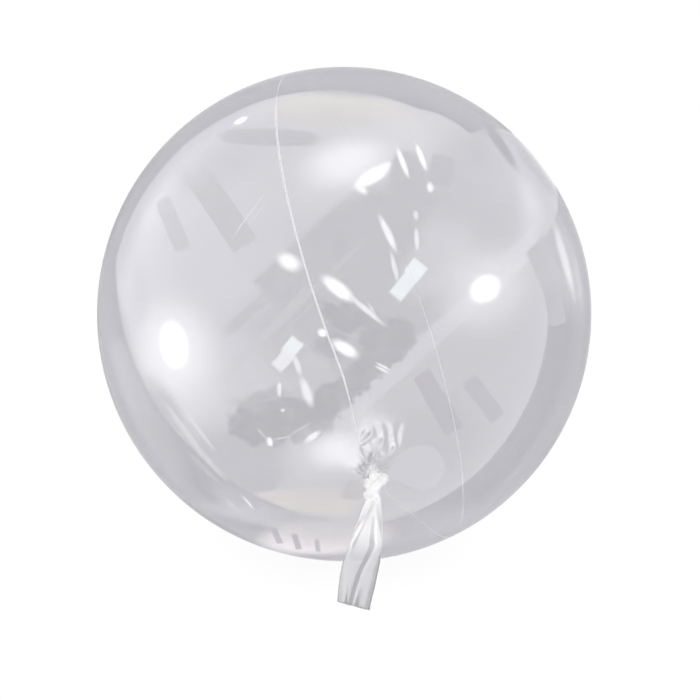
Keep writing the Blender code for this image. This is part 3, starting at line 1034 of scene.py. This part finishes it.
def soft_panel_group():
    """A node group: the mask of one soft panel at a place of the mirrored studio."""
    name = "soft panel"
    if name in bpy.data.node_groups:
        return bpy.data.node_groups[name]
    labels = (
        "Across", "Up", "Middle across", "Middle up", "Turn cosine", "Turn sine",
        "Half width", "Half height", "Softness", "Roundness", "Cover")
    nodes, start, end = new_group(name, dict.fromkeys(labels, 0.0), ("Mask",))
    calc = nodes.math
    x = calc("SUBTRACT", start["Across"], start["Middle across"])
    y = calc("SUBTRACT", start["Up"], start["Middle up"])
    cosine, sine = start["Turn cosine"], start["Turn sine"]
    u = calc("ADD", calc("MULTIPLY", x, cosine), calc("MULTIPLY", y, sine))
    v = calc("SUBTRACT", calc("MULTIPLY", y, cosine), calc("MULTIPLY", x, sine))
    u = calc("ABSOLUTE", calc("DIVIDE", u, start["Half width"]))
    v = calc("ABSOLUTE", calc("DIVIDE", v, start["Half height"]))
    square = calc("MAXIMUM", u, v)
    circle = calc("SQRT", calc("ADD", calc("MULTIPLY", u, u), calc("MULTIPLY", v, v)))
    rounder = calc("MULTIPLY", calc("SUBTRACT", circle, square), start["Roundness"])
    fall = nodes.node("ShaderNodeMapRange", {
        "Value": calc("ADD", square, rounder),
        "From Min": calc("SUBTRACT", 1.0, start["Softness"]),
        "From Max": calc("ADD", 1.0, start["Softness"]),
        "To Min": 1.0,
        "To Max": 0.0,
    }, interpolation_type="SMOOTHERSTEP")
    nodes.feed(end["Mask"], calc("MULTIPLY", fall.outputs[0], start["Cover"]))
    return nodes.tree


class StudioPaint(Nodes):
    """Paints the colour that the studio has in each direction, as a mirror ball shows it."""

    def __init__(self, tree, toward_camera):
        super().__init__(tree)
        right = np.array([cos(VIEW_AZIMUTH), sin(VIEW_AZIMUTH), 0.0])
        up = np.cross(toward_camera, right)
        place = self.node("ShaderNodeTexCoord").outputs["Generated"]
        half = self.node(
            "ShaderNodeVectorMath", {0: place, 1: tuple(toward_camera)}, operation="ADD")
        normal = self.node("ShaderNodeVectorMath", {0: half.outputs[0]}, operation="NORMALIZE")
        self.normal = normal.outputs[0]
        self.places = (self.dot(self.normal, right), self.dot(self.normal, up))

    def mask(self, panel, places=None):
        """How much a panel covers: 1 inside it, 0 outside, and soft between."""
        across_at, up_at = places or self.places
        return self.node("ShaderNodeGroup", {
            "Across": across_at, "Up": up_at,
            "Middle across": panel.middle[0], "Middle up": panel.middle[1],
            "Turn cosine": cos(radians(panel.turn)), "Turn sine": sin(radians(panel.turn)),
            "Half width": panel.half_size[0], "Half height": panel.half_size[1],
            "Softness": panel.softness, "Roundness": panel.roundness, "Cover": panel.cover,
        }, node_tree=soft_panel_group()).outputs["Mask"]

    def lay_panels(self, colour, rows, places=None, uneven=None):
        """Lays a table's panels over a colour, one after another."""
        for row in rows:
            panel = panel_at(*row)
            mask = self.mask(panel, places)
            if uneven is not None:
                mask = self.math("MULTIPLY", mask, uneven)
            colour = self.mix(mask, colour, shade_of(panel.tint, panel.strength))
        return colour

    def lay_beyond(self, colour, reach, softness, strength, cover):
        """Lays an even colour over all that is farther out than a circle round the middle."""
        inside = self.mask(oval((0.0, 0.0), (reach, reach), softness=softness))
        outside = self.math("MULTIPLY", self.math("SUBTRACT", 1.0, inside), cover)
        return self.mix(outside, colour, shade_of(LILAC, strength))

    def ragged_places(self, scale, reach):
        """The places, shifted unevenly so that outlines turn ragged, and an uneven cover."""
        rough = self.node("ShaderNodeTexNoise", {
            "Vector": self.normal, "Scale": scale, "Detail": 4.0, "Roughness": 0.6})
        parts = self.node("ShaderNodeSeparateXYZ", {0: rough.outputs["Color"]}).outputs
        moved = []
        for place, part in zip(self.places, (parts["X"], parts["Y"])):
            shift = self.math("MULTIPLY", self.math("SUBTRACT", part, 0.5), reach)
            moved.append(self.math("ADD", place, shift))
        patches = self.math("MULTIPLY", self.math("SUBTRACT", parts["Z"], 0.28), 4.0)
        patches = self.math("MULTIPLY", patches, 0.45, clamp=True)
        return moved, self.math("ADD", patches, 0.55, clamp=True)


class BALLOON_OT_stage(bpy.types.Operator):
    """The pale floor, the soft white studio and the camera"""

    bl_idname = "balloon.stage"
    bl_label = "Stage"

    floor_size = 16.0
    floor_drop = 0.0006
    # The shadow painted on the floor under the ball: where it starts and ends, and how dark it is
    painted_floor_shadow = (0.02, 0.20, 0.94)
    plain_strength = 1.05
    tent_strength = 2.35
    # Dimmer towards the tent's edge, then the floor round it and the far dark:
    # distance, softness, strength, cover
    rim = (0.885, 0.06, 1.12, 0.9)
    near_floor_strength = 0.60
    far_floor = (0.905, 0.03, 0.77, 1.0)
    # The tent's round outline, cut by the round outline of the wall: mirror place and radius
    tent_middle = (-0.064, 0.018)
    tent_edge = 0.863
    wall_middle = (0.130, 0.210)
    wall_edge = 1.034
    # Where the tent bulges past its edge: pixel of the photograph's frame, size, turn
    lobes = (((500.0, 192.0), (0.245, 0.262), 0.0), ((428.0, 162.0), (0.26, 0.20), -30.0))
    lobe_softness = 0.02
    # How finely and how far the clutter's outlines wander
    rag_scale = 16.0
    rag_reach = 0.13
    # The even glow that the far wall of the ball adds, and the film surfaces that lie before it
    back_strength = 0.75
    back_depth = 2.5

    def execute(self, context):
        scene = context.scene
        middle = ball_centre(scene.balloon_ball)
        toward_camera = np.array([
            cos(VIEW_ELEVATION) * sin(VIEW_AZIMUTH),
            -cos(VIEW_ELEVATION) * cos(VIEW_AZIMUTH),
            sin(VIEW_ELEVATION),
        ])
        self.make_floor(scene)
        self.make_studio(scene, toward_camera)
        self.make_camera(scene, middle, toward_camera)
        scene.view_settings.view_transform = "Standard"
        return {"FINISHED"}

    def make_floor(self, scene):
        """A wide pale floor that mirrored light passes through, with a soft shadow painted under
        the ball.
        """
        deselect_all()
        bpy.ops.mesh.primitive_plane_add(
            size=self.floor_size, location=(0.0, 0.0, -self.floor_drop))
        floor = bpy.context.active_object
        floor.name = "pale_floor"
        bpy.ops.object.transform_apply(location=True, rotation=True, scale=True)
        finish = Finish("pale floor", {"Roughness": 1.0, "Specular IOR Level": 0.0})
        place = finish.node("ShaderNodeTexCoord").outputs["Object"]
        away = finish.node("ShaderNodeVectorMath", {0: place}, operation="LENGTH")
        # Painted shadow: the floor's colour darkens towards the spot under the ball
        near, far, darkest = self.painted_floor_shadow
        shade = finish.node(
            "ShaderNodeMapRange",
            {"Value": away.outputs["Value"], "From Min": near, "From Max": far},
            interpolation_type="SMOOTHERSTEP")
        tint = scene.balloon_finish.floor
        colour = finish.mix(shade.outputs[0], shade_of(tint, darkest), shade_of(tint))
        finish.feed_shader("Base Color", colour)
        clear = finish.node("ShaderNodeBsdfTransparent")
        surface = finish.node("ShaderNodeMixShader", {
            0: finish.mirrored_ray(), 1: finish.shader.outputs[0], 2: clear.outputs[0]})
        finish.feed(finish.output.inputs["Surface"], surface.outputs[0])
        floor.data.materials.append(finish.material)

    def make_studio(self, scene, toward_camera):
        """A plain white surround, which mirrored light sees as a room with a tent and lamps."""
        world = bpy.data.worlds.new("soft studio")
        world.use_nodes = True
        scene.world = world
        world.node_tree.nodes.clear()
        paint = StudioPaint(world.node_tree, toward_camera)
        plain = paint.node(
            "ShaderNodeBackground", {"Color": shade_of(WHITE), "Strength": self.plain_strength})
        painted = paint.node("ShaderNodeBackground", {"Color": self.studio_colour(paint)})
        both = paint.node("ShaderNodeMixShader", {
            0: paint.mirrored_ray(), 1: plain.outputs[0], 2: painted.outputs[0]})
        paint.node("ShaderNodeOutputWorld", {"Surface": both.outputs[0]})

    def studio_colour(self, paint):
        """The tent with its lamps and clutter, the room beyond its edge, and the far wall."""
        ragged, uneven = paint.ragged_places(self.rag_scale, self.rag_reach)
        tent = paint.lay_panels(shade_of(LILAC, self.tent_strength), TENT_AREAS)
        tent = paint.lay_panels(tent, DARK_CLUTTER, ragged, uneven)
        tent = paint.lay_panels(tent, LIGHTS)
        tent = paint.lay_beyond(tent, *self.rim)
        floor = paint.lay_beyond(shade_of(LILAC, self.near_floor_strength), *self.far_floor)
        within = paint.math(
            "MINIMUM", paint.mask(oval(self.tent_middle, (self.tent_edge, self.tent_edge))),
            paint.mask(oval(self.wall_middle, (self.wall_edge, self.wall_edge))))
        for pixel, size, turn in self.lobes:
            lobe = oval(place_of(*pixel)[0], size, turn, self.lobe_softness)
            within = paint.math("MAXIMUM", within, paint.mask(lobe))
        colour = paint.lay_panels(paint.mix(within, floor, tent), BEYOND_TENT)
        from_back = paint.ray_past("Transmission Depth", self.back_depth)
        return paint.mix(from_back, colour, shade_of(LILAC, self.back_strength))

    def make_camera(self, scene, middle, toward_camera):
        """Looks at the ball's middle, and shifts the picture so that the ball is where it was."""
        distances = (VIEW_DISTANCE / scene.balloon_ball.radius) ** 2
        focal_pixels = BALL_RADIUS_IN_IMAGE * sqrt(distances - 1.0)
        data = bpy.data.cameras.new("photo_camera")
        camera = bpy.data.objects.new("photo_camera", data)
        scene.collection.objects.link(camera)
        camera.location = Vector(middle + toward_camera * VIEW_DISTANCE)
        camera.rotation_euler = Vector(toward_camera).to_track_quat("Z", "Y").to_euler()
        data.sensor_width = SENSOR_WIDTH
        data.lens = focal_pixels * SENSOR_WIDTH / IMAGE_SIZE
        data.shift_x = (IMAGE_SIZE / 2.0 - BALL_IN_IMAGE[0]) / IMAGE_SIZE
        data.shift_y = (BALL_IN_IMAGE[1] - IMAGE_SIZE / 2.0) / IMAGE_SIZE
        scene.camera = camera


class BALLOON_PT_sidebar(bpy.types.Panel):
    """The balloon's sizes, colours and building steps"""

    bl_label = "Round balloon"
    bl_idname = "BALLOON_PT_sidebar"
    bl_space_type = "VIEW_3D"
    bl_region_type = "UI"
    bl_category = "Balloon"

    def draw(self, context):
        for pointer, group in SETTINGS:
            box = self.layout.box()
            settings = getattr(context.scene, pointer)
            for name in group.__annotations__:
                box.prop(settings, name)
        for operator in OPERATORS:
            self.layout.operator(operator.bl_idname)


SETTINGS = (
    ("balloon_ball", BallSizes),
    ("balloon_neck", NeckSizes),
    ("balloon_seam", SeamSizes),
    ("balloon_tail", TailSizes),
    ("balloon_finish", FinishColours),
)
OPERATORS = (
    BALLOON_OT_film_ball,
    BALLOON_OT_weld_seam,
    BALLOON_OT_knot,
    BALLOON_OT_tail,
    BALLOON_OT_stage,
)


def register():
    for pointer, group in SETTINGS:
        bpy.utils.register_class(group)
        setattr(bpy.types.Scene, pointer, PointerProperty(type=group))
    for operator in OPERATORS:
        bpy.utils.register_class(operator)
    bpy.utils.register_class(BALLOON_PT_sidebar)


def unregister():
    bpy.utils.unregister_class(BALLOON_PT_sidebar)
    for operator in reversed(OPERATORS):
        bpy.utils.unregister_class(operator)
    for pointer, group in reversed(SETTINGS):
        delattr(bpy.types.Scene, pointer)
        bpy.utils.unregister_class(group)


def main():
    register()
    bpy.ops.balloon.film_ball()
    bpy.ops.balloon.weld_seam()
    bpy.ops.balloon.knot()
    bpy.ops.balloon.tail()
    bpy.ops.balloon.stage()


if __name__ == "__main__":
    main()
